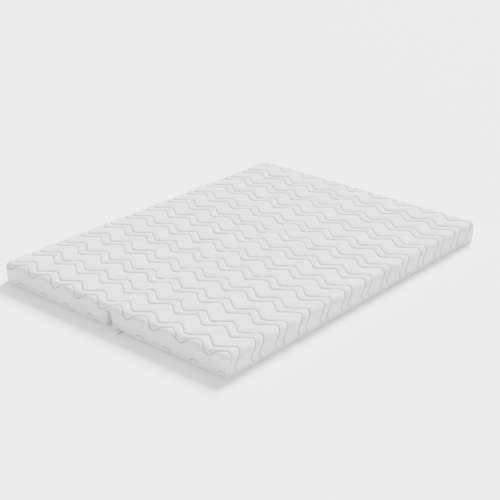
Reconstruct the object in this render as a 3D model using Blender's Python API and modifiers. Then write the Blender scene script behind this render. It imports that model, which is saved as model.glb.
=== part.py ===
"""Two-panel fold-up mattress: 1.90 x 1.40 m, lying flat.

The origin is on the floor under the middle of the mattress. X runs along its length, the
seat panel is in front (-Y) and the back panel behind (+Y). The quilted cover is continuous
over the top, and a strip of it bridges the two panels and is the hinge that they fold on.
Each panel's cover comes off by a zip that runs round the bottom of its three outer walls.
"""

import math

import bpy
import bmesh
from mathutils import Matrix, Vector

# Driving dimensions, in metres
LENGTH = 1.90
PANEL_DEPTH = 0.70              # from the fold's middle to the panel's outer wall
THICKNESS = 0.100
EDGE_RADIUS = 0.025             # the roll of the top edge and of the two outer corners
EDGE_STEPS = 6

FOLD_HALF = 0.012               # from the fold's middle to each of its two creases
FOLD_FLAP = 0.020               # how far the bridging strip runs down the side walls
SEAT_LEAN = 0.018               # how much deeper the notch is cut at the seat's bottom edge

GAP = 0.0003                    # between pieces that touch
FACE_THICK = 0.0015             # the quilted knit
WADDING_THICK = 0.0057
SCRIM_THICK = 0.0008
BASE_THICK = 0.0012
WALL_THICK = 0.0015             # the plain fabric of the inner walls

HEM_HEIGHT = 0.0140             # where the quilted wall ends and the zip begins
TAPE_THICK = 0.0010
TAPE_INSET = 0.0005
UPPER_TAPE = (0.0100, 0.0137)
LOWER_TAPE = (0.0015, 0.0050)
UPPER_COIL = (0.0083, 0.0097)
LOWER_COIL = (0.0053, 0.0067)
COIL_THICK = 0.0018
ZIP_MIDDLE = 0.0075             # height of the line where the two coils meet
ZIP_START = 0.085               # from the fold's middle to each end of the zip
STOP_LENGTH = 0.0030
STOP_IN = 0.0022
STOP_OUT = 0.0004
SLIDER_AT = 0.095               # the slider when the zip is closed
SLIDER_LENGTH = 0.0090
SLIDER_HEIGHT = 0.0085
PLATE_THICK = 0.0015
INNER_PLATE_IN = 0.0023         # from the wall in to the plate behind the coils
POST_LENGTH = 0.0030
POST_HEIGHT = 0.0010
PIN_OUT = 0.0042                # from the wall to the pin that the pull turns on
PIN_RADIUS = 0.0006
LUG_LENGTH = 0.0030
LUG_TIP = 0.0012                # how far a lug stands past the pin
LUG_THICK = 0.0011
LUG_SPREAD = 0.0030             # from the zip's middle to the far face of each lug
PULL_LENGTH = 0.030
PULL_HEIGHT = 0.0060
PULL_THICK = 0.0012
NECK_HEIGHT = 0.0026
NECK_LENGTH = 0.0050
NECK_SLOPE = 0.0015             # the length over which the neck widens to the tab
EYE_RADIUS = 0.0019             # the round boss of the pull's eye

HALF_LENGTH = LENGTH / 2

WHITE_KNIT = ((0.86, 0.86, 0.85), 0.90, 0.0)
PLAIN_KNIT = ((0.82, 0.82, 0.81), 0.90, 0.0)
FLEECE = ((0.90, 0.90, 0.89), 0.95, 0.0)
NON_WOVEN = ((0.80, 0.80, 0.80), 0.90, 0.0)
FOAM = ((0.88, 0.85, 0.70), 0.95, 0.0)
ZIP_TAPE = ((0.74, 0.74, 0.74), 0.85, 0.0)
ZIP_COIL = ((0.60, 0.60, 0.60), 0.45, 0.0)
DARK_METAL = ((0.10, 0.10, 0.11), 0.40, 0.6)

# The seat is on the -Y side and its zip slider at the left wall; the back is the seat turned
# half round about Z, apart from its inner wall, which stands upright.
PANELS = {"seat": -1, "back": 1}
LEAN = {"seat": SEAT_LEAN, "back": 0.0}


def clear_scene():
    for item in list(bpy.data.objects):
        bpy.data.objects.remove(item, do_unlink=True)


def new_collection(name):
    collection = bpy.data.collections.new(name)
    bpy.context.scene.collection.children.link(collection)
    return collection


def finish_node(item, look):
    """Put an object in the mattress collection with a material of its own."""
    colour, roughness, metallic = look
    material = bpy.data.materials.new(item.name)
    material.use_nodes = True
    shader = material.node_tree.nodes["Principled BSDF"]
    shader.inputs["Base Color"].default_value = (*colour, 1.0)
    shader.inputs["Roughness"].default_value = roughness
    shader.inputs["Metallic"].default_value = metallic
    item.data.materials.append(material)
    MATTRESS.objects.link(item)
    return item


def mesh_object(name, bm):
    mesh = bpy.data.meshes.new(name)
    bm.to_mesh(mesh)
    bm.free()
    return bpy.data.objects.new(name, mesh)


def smooth(item):
    item.data.shade_smooth()
    item.data.set_sharp_from_angle(angle=math.radians(35))


def thicken(item, thickness, offset=-1):
    """Give an open surface its wall: -1 behind its faces, 1 in front of them, 0 on both sides."""
    wall = item.modifiers.new("wall", "SOLIDIFY")
    wall.thickness = thickness
    wall.offset = offset
    wall.use_even_offset = True


def half_turn(name):
    """The matrix that takes a shape made for the seat to the named panel."""
    return Matrix.Rotation(math.pi if name == "back" else 0.0, 4, "Z")


def panel_block(name, inset, bottom, inner_inset):
    """A box the size of a panel less its insets, its inner end leaning as that panel's does."""
    side = PANELS[name]
    top = THICKNESS - inset
    bm = bmesh.new()
    bmesh.ops.create_cube(bm, size=2.0)
    for vertex in bm.verts:
        height = top if vertex.co.z > 0 else bottom
        if vertex.co.y * side > 0:
            depth = PANEL_DEPTH - inset
        else:
            lean = LEAN[name] * (1 - height / THICKNESS)
            depth = FOLD_HALF + GAP + lean + inner_inset
        vertex.co = Vector((vertex.co.x * (HALF_LENGTH - inset), side * depth, height))
    return bm


def round_outer_edges(bm, name, inset):
    """Bevel the three outer top edges and the two outer corners of a panel block."""
    side = PANELS[name]
    outer = side * (PANEL_DEPTH - inset)
    top = THICKNESS - inset
    edges = []
    for edge in bm.edges:
        ends = [vertex.co for vertex in edge.verts]
        at_top = all(abs(end.z - top) < 1e-6 for end in ends)
        at_outer = all(abs(end.y - outer) < 1e-6 for end in ends)
        along_y = abs(ends[0].y - ends[1].y) > 0.1
        if (at_top and (at_outer or along_y)) or (at_outer and not along_y and is_upright(edge)):
            edges.append(edge)
    bmesh.ops.bevel(
        bm, geom=edges, offset=EDGE_RADIUS - inset, segments=EDGE_STEPS, profile=0.5, affect="EDGES"
    )


def is_upright(edge):
    across = edge.verts[0].co - edge.verts[1].co
    return abs(across.z) > 10 * math.hypot(across.x, across.y)


def panel_shell(name, part, inset, thickness, bottom, inner_inset, look):
    """A layer of the cover: a box open at its bottom and inner end, with a wall."""
    side = PANELS[name]
    lean_of_wall = LEAN[name] * thickness / THICKNESS
    bm = panel_block(name, inset, bottom, inner_inset + lean_of_wall)
    open_faces = [face for face in bm.faces if face.normal.z < -0.9 or face.normal.y * side < -0.9]
    bmesh.ops.delete(bm, geom=open_faces, context="FACES")
    round_outer_edges(bm, name, inset)
    item = mesh_object(f"{name}_{part}", bm)
    smooth(item)
    thicken(item, thickness)
    return finish_node(item, look)


def foam_core(name):
    inset = FACE_THICK + WADDING_THICK + SCRIM_THICK + 3 * GAP
    bm = panel_block(name, inset, BASE_THICK + 2 * GAP, WALL_THICK + GAP)
    round_outer_edges(bm, name, inset)
    item = mesh_object(f"{name}_foam_core", bm)
    smooth(item)
    return finish_node(item, FOAM)


def arc(centre_x, centre_y, radius, start, end, steps):
    """Points on an arc, both ends included, with its angles in degrees."""
    points = []
    for step in range(steps + 1):
        angle = math.radians(start + (end - start) * step / steps)
        points.append((centre_x + radius * math.cos(angle), centre_y + radius * math.sin(angle)))
    return points


def outline_curve(name, points, thickness, closed=True):
    """A flat outline in local XY with a thickness, or the ribbon standing on an open line."""
    curve = bpy.data.curves.new(name, "CURVE")
    curve.dimensions = "2D"
    curve.fill_mode = "BOTH" if closed else "NONE"
    curve.extrude = thickness / 2
    spline = curve.splines.new("POLY")
    spline.points.add(len(points) - 1)
    for point, (x, y) in zip(spline.points, points):
        point.co = (x, y, 0.0, 1.0)
    spline.use_cyclic_u = closed
    return bpy.data.objects.new(name, curve)


def base_panel(name):
    """The flat fabric under a panel, with the panel's rounded outer corners."""
    inner = -(FOLD_HALF + GAP + LEAN[name])
    outer = -PANEL_DEPTH + EDGE_RADIUS
    half = HALF_LENGTH - EDGE_RADIUS
    points = [(HALF_LENGTH, inner), (-HALF_LENGTH, inner)]
    points += arc(-half, outer, EDGE_RADIUS, 180, 270, EDGE_STEPS)
    points += arc(half, outer, EDGE_RADIUS, 270, 360, EDGE_STEPS)
    item = outline_curve(f"{name}_base_panel", points, BASE_THICK)
    item.matrix_world = half_turn(name) @ Matrix.Translation((0, 0, BASE_THICK / 2))
    return finish_node(item, PLAIN_KNIT)


def inner_wall(name):
    """The plain fabric over a panel's inner end, with the roll of the side edges at its top."""
    lean = LEAN[name]
    bottom = BASE_THICK + GAP
    slant = math.atan2(lean, THICKNESS)
    height = (THICKNESS - 2 * GAP) / math.cos(slant)
    half = HALF_LENGTH - EDGE_RADIUS
    low = bottom / math.cos(slant)
    points = [(-HALF_LENGTH, low), (HALF_LENGTH, low)]
    points += arc(half, height - EDGE_RADIUS, EDGE_RADIUS, 0, 90, EDGE_STEPS)
    points += arc(-half, height - EDGE_RADIUS, EDGE_RADIUS, 90, 180, EDGE_STEPS)
    item = outline_curve(f"{name}_inner_wall", points, WALL_THICK)
    foot = -(FOLD_HALF + GAP + lean + WALL_THICK / 2)
    upright = Matrix.Rotation(math.pi / 2 - slant, 4, "X")
    item.matrix_world = half_turn(name) @ Matrix.Translation((0, foot, 0)) @ upright
    return finish_node(item, PLAIN_KNIT)


def zip_path(inset, start):
    """The seat zip's line in plan, from the right wall round the front to the left wall."""
    half = HALF_LENGTH - EDGE_RADIUS
    outer = -PANEL_DEPTH + EDGE_RADIUS
    radius = EDGE_RADIUS - inset
    points = [(HALF_LENGTH - inset, -start)]
    points += arc(half, outer, radius, 0, -90, EDGE_STEPS)
    points += arc(-half, outer, radius, -90, -180, EDGE_STEPS)
    points += [(-HALF_LENGTH + inset, -start)]
    return points


def zip_ribbon(name, part, levels, inset, thickness, start, look):
    """A zip tape or coil: a ribbon standing round the three outer walls."""
    low, high = levels
    line = zip_path(inset + thickness / 2, start)
    item = outline_curve(f"{name}_{part}", line, high - low, closed=False)
    item.matrix_world = half_turn(name) @ Matrix.Translation((0, 0, (low + high) / 2))
    thicken(item, thickness, offset=0)
    return finish_node(item, look)


def add_box(bm, low, high):
    """A box between two corners."""
    made = bmesh.ops.create_cube(bm, size=1.0)
    size = Vector(high) - Vector(low)
    middle = (Vector(high) + Vector(low)) / 2
    bmesh.ops.scale(bm, vec=size, verts=made["verts"])
    bmesh.ops.translate(bm, vec=middle, verts=made["verts"])


def add_cylinder(bm, centre, radius, height):
    """An upright cylinder."""
    bmesh.ops.create_cone(
        bm,
        cap_ends=True,
        segments=16,
        radius1=radius,
        radius2=radius,
        depth=height,
        matrix=Matrix.Translation(centre),
    )


def boolean(item, cutter, operation):
    """Join or cut with a helper object, which is kept as a hidden wire."""
    cutter.hide_render = True
    cutter.display_type = "WIRE"
    CUTTERS.objects.link(cutter)
    step = item.modifiers.new(operation.lower(), "BOOLEAN")
    step.operation = operation
    step.object = cutter
    step.solver = "EXACT"


def zip_stop(name, part, side):
    """A clip across both coils at one end of the zip, on the seat's left (-1) or right (1) wall."""
    across = sorted((side * (HALF_LENGTH - STOP_IN), side * (HALF_LENGTH + STOP_OUT)))
    near = -ZIP_START + GAP
    bm = bmesh.new()
    add_box(bm, (across[0], near, LOWER_COIL[0]), (across[1], near + STOP_LENGTH, UPPER_COIL[1]))
    item = mesh_object(f"{name}_{part}", bm)
    item.matrix_world = half_turn(name)
    return finish_node(item, DARK_METAL)


def zip_slider(name):
    """Two plates joined by a post between the coils, with two lugs and the pull's pin.

    It is made with its origin at the pin's middle and -X pointing away from the wall.
    """
    along = SLIDER_LENGTH / 2
    tall = SLIDER_HEIGHT / 2
    outer = (PIN_OUT - PLATE_THICK - GAP, PIN_OUT - GAP)
    inner = (PIN_OUT + INNER_PLATE_IN, PIN_OUT + INNER_PLATE_IN + PLATE_THICK)

    plate = bmesh.new()
    add_box(plate, (outer[0], -along, -tall), (outer[1], along, tall))
    item = mesh_object(f"{name}_zip_slider", plate)

    inner_plate = bmesh.new()
    add_box(inner_plate, (inner[0], -along, -tall), (inner[1], along, tall))
    boolean(item, mesh_object(f"{name}_slider_inner_plate", inner_plate), "UNION")
    post = bmesh.new()
    side, rise = POST_LENGTH / 2, POST_HEIGHT / 2
    add_box(post, (outer[1] - GAP, -side, -rise), (inner[0] + GAP, side, rise))
    boolean(item, mesh_object(f"{name}_slider_post", post), "UNION")
    for label, sign in (("upper", 1), ("lower", -1)):
        lug = bmesh.new()
        near, far = sorted((sign * (LUG_SPREAD - LUG_THICK), sign * LUG_SPREAD))
        add_box(lug, (-LUG_TIP, -LUG_LENGTH / 2, near), (outer[0] + GAP, LUG_LENGTH / 2, far))
        boolean(item, mesh_object(f"{name}_slider_lug_{label}", lug), "UNION")
    pin = bmesh.new()
    add_cylinder(pin, (0, 0, 0), PIN_RADIUS, 2 * LUG_SPREAD - LUG_THICK)
    boolean(item, mesh_object(f"{name}_slider_pin", pin), "UNION")

    pin_place = Matrix.Translation((-HALF_LENGTH - PIN_OUT, -SLIDER_AT, ZIP_MIDDLE))
    place(item, half_turn(name) @ pin_place)
    return finish_node(item, DARK_METAL)


def place(item, matrix):
    """Set an object and the helpers that cut or join it at one place."""
    item.matrix_world = matrix
    for step in item.modifiers:
        if step.type == "BOOLEAN":
            step.object.matrix_world = matrix


def zip_pull(name):
    """A flat tab with a narrow neck and an eye, hanging on the slider's upright pin."""
    tall = PULL_HEIGHT / 2
    neck = NECK_HEIGHT / 2
    root = EYE_RADIUS / 2
    shoulder = -NECK_LENGTH - NECK_SLOPE
    points = [(root, -neck), (root, neck), (-NECK_LENGTH, neck), (shoulder, tall)]
    points += arc(-PULL_LENGTH + tall, 0.0, tall, 90, 270, EDGE_STEPS)
    points += [(shoulder, -tall), (-NECK_LENGTH, -neck)]
    flat = outline_curve(f"{name}_pull_outline", points, PULL_THICK)
    upright = Matrix.Rotation(math.pi / 2, 4, "X")
    flat.matrix_world = upright
    CUTTERS.objects.link(flat)
    bpy.context.view_layer.update()
    evaluated = flat.evaluated_get(bpy.context.evaluated_depsgraph_get())
    solid = bpy.data.meshes.new_from_object(evaluated)
    bpy.data.objects.remove(flat)
    solid.transform(upright)
    bm = bmesh.new()
    bm.from_mesh(solid)
    bmesh.ops.remove_doubles(bm, verts=bm.verts, dist=1e-6)
    bmesh.ops.recalc_face_normals(bm, faces=bm.faces)
    item = mesh_object(f"{name}_zip_pull", bm)

    boss = bmesh.new()
    add_cylinder(boss, (0, 0, 0), EYE_RADIUS, NECK_HEIGHT)
    boolean(item, mesh_object(f"{name}_pull_boss", boss), "UNION")
    eye = bmesh.new()
    add_cylinder(eye, (0, 0, 0), PIN_RADIUS + GAP, 2 * NECK_HEIGHT)
    boolean(item, mesh_object(f"{name}_pull_eye", eye), "DIFFERENCE")
    pin_place = Matrix.Translation((-HALF_LENGTH - PIN_OUT, -SLIDER_AT, ZIP_MIDDLE))
    place(item, half_turn(name) @ pin_place)
    return finish_node(item, DARK_METAL)


def fold_layer(part, inset, thickness, look):
    """A layer of the strip that bridges the panels, with a flap down each side wall."""
    radius = EDGE_RADIUS - inset
    half = HALF_LENGTH - EDGE_RADIUS
    flap = THICKNESS - FOLD_FLAP
    turn = math.degrees(math.asin((flap - THICKNESS + EDGE_RADIUS) / EDGE_RADIUS))
    line = arc(half, THICKNESS - EDGE_RADIUS, radius, turn, 90, EDGE_STEPS)
    line += arc(-half, THICKNESS - EDGE_RADIUS, radius, 90, 180 - turn, EDGE_STEPS)
    item = outline_curve(f"fold_{part}", line, 2 * (FOLD_HALF - GAP), closed=False)
    item.matrix_world = Matrix.Rotation(math.pi / 2, 4, "X")
    thicken(item, thickness, offset=1)
    return finish_node(item, look)


def build_panel(name):
    wadding_inset = FACE_THICK + GAP
    scrim_inset = wadding_inset + WADDING_THICK + GAP
    wall_room = WALL_THICK + GAP
    foam_core(name)
    panel_shell(name, "backing_scrim", scrim_inset, SCRIM_THICK, HEM_HEIGHT, wall_room, NON_WOVEN)
    panel_shell(name, "wadding", wadding_inset, WADDING_THICK, HEM_HEIGHT, wall_room, FLEECE)
    panel_shell(name, "quilted_cover", 0.0, FACE_THICK, HEM_HEIGHT, wall_room, WHITE_KNIT)
    inner_wall(name)
    base_panel(name)
    tape_start = FOLD_HALF + LEAN[name] + WALL_THICK + 4 * GAP
    coil_inset = TAPE_INSET - (COIL_THICK - TAPE_THICK) / 2
    for level, tape, coil in (("upper", UPPER_TAPE, UPPER_COIL), ("lower", LOWER_TAPE, LOWER_COIL)):
        zip_ribbon(name, f"zip_tape_{level}", tape, TAPE_INSET, TAPE_THICK, tape_start, ZIP_TAPE)
        zip_ribbon(name, f"zip_coil_{level}", coil, coil_inset, COIL_THICK, ZIP_START, ZIP_COIL)
    zip_stop(name, "zip_stop_closed", -1)
    zip_stop(name, "zip_stop_open", 1)
    zip_slider(name)
    zip_pull(name)


def build_fold():
    wadding_inset = FACE_THICK + GAP
    scrim_inset = wadding_inset + WADDING_THICK + GAP
    fold_layer("face", 0.0, FACE_THICK, WHITE_KNIT)
    fold_layer("wadding", wadding_inset, WADDING_THICK, FLEECE)
    fold_layer("backing", scrim_inset, SCRIM_THICK, NON_WOVEN)


clear_scene()
MATTRESS = new_collection("futon_mattress")
CUTTERS = new_collection("cutters")
for panel_name in PANELS:
    build_panel(panel_name)
build_fold()
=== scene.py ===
# %% [markdown]
# # A futon mattress that folds up as a sofa
#
# The mattress is two slabs of foam in one white quilted cover. The cover's top is a single
# sandwich of stretch knit, fluffy wadding and a thin backing sheet, sewn together along pairs of
# wavy lines before it was cut out, so the lines run on over the edges and down the walls. This
# script dresses the plain frame of the mattress with that fabric. The frame gives every size
# that matters, so the first step is to load it and to read the sizes back.

# %% Load the frame and read its sizes
import math

import bmesh
import bpy
import numpy as np
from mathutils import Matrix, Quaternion, Vector


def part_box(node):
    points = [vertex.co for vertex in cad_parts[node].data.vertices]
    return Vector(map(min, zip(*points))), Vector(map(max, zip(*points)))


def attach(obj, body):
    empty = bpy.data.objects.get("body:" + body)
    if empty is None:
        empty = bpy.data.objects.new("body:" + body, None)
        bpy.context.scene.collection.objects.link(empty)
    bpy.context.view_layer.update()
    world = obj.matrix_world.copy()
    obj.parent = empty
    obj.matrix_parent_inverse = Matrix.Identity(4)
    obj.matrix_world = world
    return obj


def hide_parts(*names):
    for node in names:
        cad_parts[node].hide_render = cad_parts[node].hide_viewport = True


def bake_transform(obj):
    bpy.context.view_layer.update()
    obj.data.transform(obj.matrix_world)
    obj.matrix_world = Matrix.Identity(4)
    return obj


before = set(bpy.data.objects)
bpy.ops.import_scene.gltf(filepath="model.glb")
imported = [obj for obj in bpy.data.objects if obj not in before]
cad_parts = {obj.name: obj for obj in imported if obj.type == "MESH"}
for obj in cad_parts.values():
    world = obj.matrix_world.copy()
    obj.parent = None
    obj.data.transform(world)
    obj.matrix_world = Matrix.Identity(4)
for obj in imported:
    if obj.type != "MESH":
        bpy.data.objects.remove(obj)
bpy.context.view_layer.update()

cover_low, cover_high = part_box("seat_quilted_cover")
THICKNESS = cover_high.z
HALF_LENGTH = cover_high.x
HALF_WIDTH = -cover_low.y
HEM_HEIGHT = cover_low.z
CREASE = -cover_high.y             # where the seat's cover ends and the fold begins
SEAT_LEAN = -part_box("seat_base_panel")[1].y - CREASE
BACK_LEAN = 0.0
ROLL = 0.025                       # radius of the top edge and of the outer corners
print(f"mattress {2 * HALF_LENGTH:.3f} x {2 * HALF_WIDTH:.3f} x {THICKNESS:.3f} m")

# %% [markdown]
# ## The quilting pattern
#
# The sewing machine makes two lines at once, 51 mm apart, and the next pair starts 153 mm
# further on. The table under the needles swings from side to side while the fabric feeds, so
# every line is the same wave and all of them swing together. The wave is a little more angular
# than a sine: a small third harmonic straightens its slopes.

# %% The wave and the places of the lines
PAIR_PITCH = 0.153
PAIR_GAP = 0.051
FIRST_LINE = -0.938
WAVE_HEIGHT = 0.0245
WAVE_LENGTH = 0.156
WAVE_START = -0.667
THIRD_HARMONIC = 0.04


def wave(t):
    """Sideways swing of every line at distance t along the feed: cos(x) + 0.04 cos(3x)."""
    turn = 2 * np.pi * (t - WAVE_START) / WAVE_LENGTH
    return WAVE_HEIGHT * (np.cos(turn) + THIRD_HARMONIC * np.cos(3 * turn))


def wave_slope(t):
    """Derivative of the wave, for the true distance from a line."""
    turn = 2 * np.pi * (t - WAVE_START) / WAVE_LENGTH
    return -WAVE_HEIGHT * 2 * np.pi / WAVE_LENGTH * (
        np.sin(turn) + 3 * THIRD_HARMONIC * np.sin(3 * turn)
    )


pairs = FIRST_LINE + PAIR_PITCH * np.arange(-1, 14)
LINES = np.sort(np.concatenate([pairs, pairs + PAIR_GAP]))
print(f"{len(LINES)} quilting lines, some of them only on the side walls")

# %% [markdown]
# ## Fabric that rolls over the edges
#
# A point of the fabric has two coordinates: s across the mattress and t along the lines. On
# the lying face they are simply x and y. Past the edge the fabric goes round a quarter circle
# and down the wall. At an outer corner both happen at once: there the fabric turns in plan as
# well, and below the roll the two walls meet in an upright seam, where the spare square of
# fabric was cut away. One function holds all of this, and everything that is sewn to the
# cover uses it too, so that it stays on the fabric.

# %% From fabric coordinates to space
FLAT_X = HALF_LENGTH - ROLL
FLAT_Y = HALF_WIDTH - ROLL
TURN = ROLL * math.pi / 2                     # fabric used up by the roll
WALL = THICKNESS - ROLL - HEM_HEIGHT          # fabric on the upright wall
SIDE_END = FLAT_X + TURN + WALL
FRONT_END = FLAT_Y + TURN + WALL
ARCH_TOP = 0.083                              # the notch's round top, under the fold
ARCH_FOOT = 0.068
CORNER_TUCK = 0.005                           # how far the wall turns in beside the notch
HEM_DOWN = 0.0818                             # nearer the notch than this, there is no zip
FOOT_GAP = 0.0010
FEED_ERROR = 0.0013                           # how far the quilting strays from its drawing
STRAY_EASE = 0.06                             # and how far from the edges it begins to
TUCK_WIDTH = 0.016
TOUCHING = 1e-6                               # closer than this, two places are one
TINY = 1e-9                                   # stands for zero where zero has no side


def smoothstep(x):
    """0 below 0, 1 above 1 and 3x^2 - 2x^3 between."""
    x = np.clip(x, 0.0, 1.0)
    return x * x * (3 - 2 * x)


def depth_at(over):
    """Depth below the top of fabric that runs this far past the flat face."""
    rolled = np.minimum(over, TURN)
    return ROLL * (1 - np.cos(rolled / ROLL)) + np.clip(over - TURN, 0.0, None)


def side_end(t):
    """Where the side wall's fabric ends: at the hem, but near the notch down to the floor."""
    return SIDE_END + (HEM_HEIGHT - FOOT_GAP) * smoothstep((HEM_DOWN - np.abs(t)) / 0.0015)


def notch_edge(z, lean):
    """Distance from the fold's middle to the notch's edge: an arch, then a leaning line."""
    rise = np.clip((z - ARCH_FOOT) / (ARCH_TOP - ARCH_FOOT), 0.0, 1.0)
    arch = CREASE * np.sqrt(1 - rise**2)
    slant = lean * np.clip(1 - z / THICKNESS, 0.0, 1.0) * smoothstep((ARCH_TOP - z) / 0.03)
    return np.where(z >= ARCH_TOP, 0.0, arch + slant)


def past_edge(s, t):
    """How far a point of fabric lies from the notch's edge."""
    lean = np.where(t > 0, BACK_LEAN, SEAT_LEAN)
    z = THICKNESS - depth_at(np.clip(np.abs(s) - FLAT_X, 0.0, None))
    return np.abs(t) - notch_edge(z, lean)


WAVES_SEED = 7
WAVES = 14


def unevenness(s, t):
    """Slow waves in several directions from a seeded draw, their sum mostly within -1 to 1."""
    draw = np.random.default_rng(WAVES_SEED)
    total = np.zeros_like(s)
    for _ in range(WAVES):
        length = draw.uniform(0.05, 0.24)
        heading = draw.uniform(0, np.pi)
        phase = draw.uniform(0, 2 * np.pi)
        along = s * np.cos(heading) + t * np.sin(heading)
        total += np.sin(2 * np.pi * along / length + phase)
    return total / 6


def tuck_at(z):
    """The wall turns in beside the notch, but not at the arch nor at its foot."""
    return CORNER_TUCK * smoothstep((ARCH_TOP - z) / 0.012) * smoothstep((z - 0.012) / 0.025)


def drape(s, t, lift=0.0):
    """Points and outward normals of fabric at (s, t), lifted off the plain mattress.

    The larger overhang past the flat face, divided by the radius, is the angle of the roll;
    what is left of it after a quarter turn is the depth down the wall. The smaller overhang
    is the turn in plan, from 0 to 45 degrees at the corner seam.
    """
    side = np.where(t > 0, 1.0, -1.0)
    out = np.abs(t)
    over_x = np.clip(np.abs(s) - FLAT_X, 0.0, None)
    over_y = np.clip(out - FLAT_Y, 0.0, None)
    major = np.maximum(over_x, over_y)
    minor = np.minimum(over_x, over_y)
    angle = np.minimum(major, TURN) / ROLL
    down = ROLL * (1 - np.cos(angle)) + np.clip(major - TURN, 0.0, None)
    plan = np.pi / 4 * minor / np.clip(np.minimum(major, TURN), TINY, None)
    plan = np.where(over_x >= over_y, plan, np.pi / 2 - plan)
    reach = ROLL * np.sin(angle)
    z = THICKNESS - down
    lean = np.where(side < 0, SEAT_LEAN, BACK_LEAN)
    edge = notch_edge(z, lean)
    inside = np.clip(1 - (out - edge) / TUCK_WIDTH, 0.0, 1.0)
    tuck = tuck_at(z) * inside**2 * (over_x > over_y)
    x = np.sign(s) * (np.minimum(np.abs(s), FLAT_X) + reach * np.cos(plan) - tuck)
    y = side * (np.maximum(np.minimum(out, FLAT_Y), edge) + reach * np.sin(plan))
    free = smoothstep((FLAT_X - np.abs(s)) / STRAY_EASE)
    free = free * smoothstep((FLAT_Y - out) / STRAY_EASE)
    free = free * smoothstep((out - 0.02) / STRAY_EASE) * FEED_ERROR
    x = x + free * unevenness(s * 0.8, t * 0.8 + 5)
    y = y + free * unevenness(s * 0.8 + 9, t * 0.8)
    normal = np.stack(
        [
            np.sign(s) * np.sin(angle) * np.cos(plan),
            side * np.sin(angle) * np.sin(plan),
            np.cos(angle),
        ],
        axis=-1,
    )
    points = np.stack([x, y, z], axis=-1) + normal * np.asarray(lift)[..., None]
    return points, normal


# %% [markdown]
# ## The grid of the cover
#
# The grid's rows follow t. Its columns follow the quilting lines, swinging with the wave, so
# that a seam is always a column of points and its groove stays crisp. Columns crowd together
# beside each line and spread out on the pillows between. Where a row runs past the hem, the
# corner seam or the notch, its points are held on that border, and the faces that have no
# area left are dropped.

# %% Rows, columns and borders
NEAR_LINE = (0.0012, 0.0030, 0.0060)
FOLD_ROWS_END = 0.016
NOTCH_ROWS_END = 0.040


def columns(near, fill, ends=()):
    """Places across the fabric: each line, points close beside it and an even fill.

    ends adds closer fills: from each distance on, on both sides, with its own step.
    """
    places = []
    for first, last, step in ends:
        extra = np.arange(first, last, step)
        places += [*extra, *-extra]
    for left, right in zip(LINES[:-1], LINES[1:]):
        start = left + (near[-1] if near else 0.0)
        end = right - (near[-1] if near else 0.0)
        count = max(1, round((end - start) / fill))
        places += [left, *(left + step for step in near)]
        places += list(np.linspace(start, end, count + 1)[1:-1])
        places += [right - step for step in reversed(near)]
    return np.unique(np.round(np.array(places), 6))


def rows(fine, middle, coarse):
    """Distances from the fold's middle, close together where the fabric folds and rolls."""
    fold = np.arange(0.0, FOLD_ROWS_END, fine)
    notch = np.arange(FOLD_ROWS_END, NOTCH_ROWS_END, middle)
    flat = np.linspace(NOTCH_ROWS_END, FLAT_Y, round((FLAT_Y - NOTCH_ROWS_END) / coarse) + 1)
    roll = np.linspace(FLAT_Y, FLAT_Y + TURN, round(TURN / coarse) + 1)
    wall = np.linspace(FLAT_Y + TURN, FRONT_END, round(WALL / coarse) + 1)
    zip_start = [HEM_DOWN - 0.0016, HEM_DOWN]
    return np.unique(np.round(np.concatenate([fold, notch, zip_start, flat, roll, wall]), 6))


def cover_grid(places, distances, sides):
    """s and t on a grid, with flags for the points that are held on a border."""
    t = np.concatenate([side * distances for side in sides])
    t = np.unique(np.round(t, 6))
    s = places[None, :] + wave(t)[:, None]
    t = np.repeat(t[:, None], len(places), axis=1)
    out = np.abs(t)
    on_front = out > FLAT_Y + TURN + TOUCHING
    limit = np.where(on_front, FLAT_X + TURN, side_end(t))
    held = np.abs(s) >= limit
    s = np.clip(s, -limit, limit)
    seam_rows = np.abs(out[:, 0] - (FLAT_Y + TURN)) < TOUCHING
    for row in np.flatnonzero(seam_rows):
        for sign in (-1, 1):
            nearest = np.argmin(np.abs(s[row] - sign * (FLAT_X + TURN)))
            s[row, nearest] = sign * (FLAT_X + TURN)
    at_notch = past_edge(s, t) < 0
    hem = held | (out >= FRONT_END - TOUCHING)
    return {"s": s, "t": t, "held": held | at_notch, "hem": hem}


def grid_triangles(grid, points):
    """Two triangles a cell, without those on a border, across a corner or with no area."""
    count_rows, count_columns = grid["s"].shape
    index = np.arange(count_rows * count_columns).reshape(count_rows, count_columns)
    a, b = index[:-1, :-1].ravel(), index[:-1, 1:].ravel()
    c, d = index[1:, 1:].ravel(), index[1:, :-1].ravel()
    triangles = np.concatenate([np.stack([a, b, c], 1), np.stack([a, c, d], 1)])
    held = grid["held"].ravel()[triangles].all(axis=1)
    past_x = np.abs(grid["s"]).ravel() > FLAT_X + TURN + TOUCHING
    past_y = np.abs(grid["t"]).ravel() > FLAT_Y + TURN + TOUCHING
    over_corner = past_x[triangles].any(axis=1) & past_y[triangles].any(axis=1)
    corner = points.reshape(-1, 3)[triangles]
    edges = corner[:, 1:] - corner[:, :1]
    area = np.linalg.norm(np.cross(edges[:, 0], edges[:, 1]), axis=1)
    return triangles[~held & ~over_corner & (area > TINY)]


# %% [markdown]
# ## Making an object from arrays
#
# Points that lie on each other are welded, points that no face uses are left out, and the
# fabric coordinates become the piece's UV map, in metres, for the knit pattern to follow.

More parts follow.
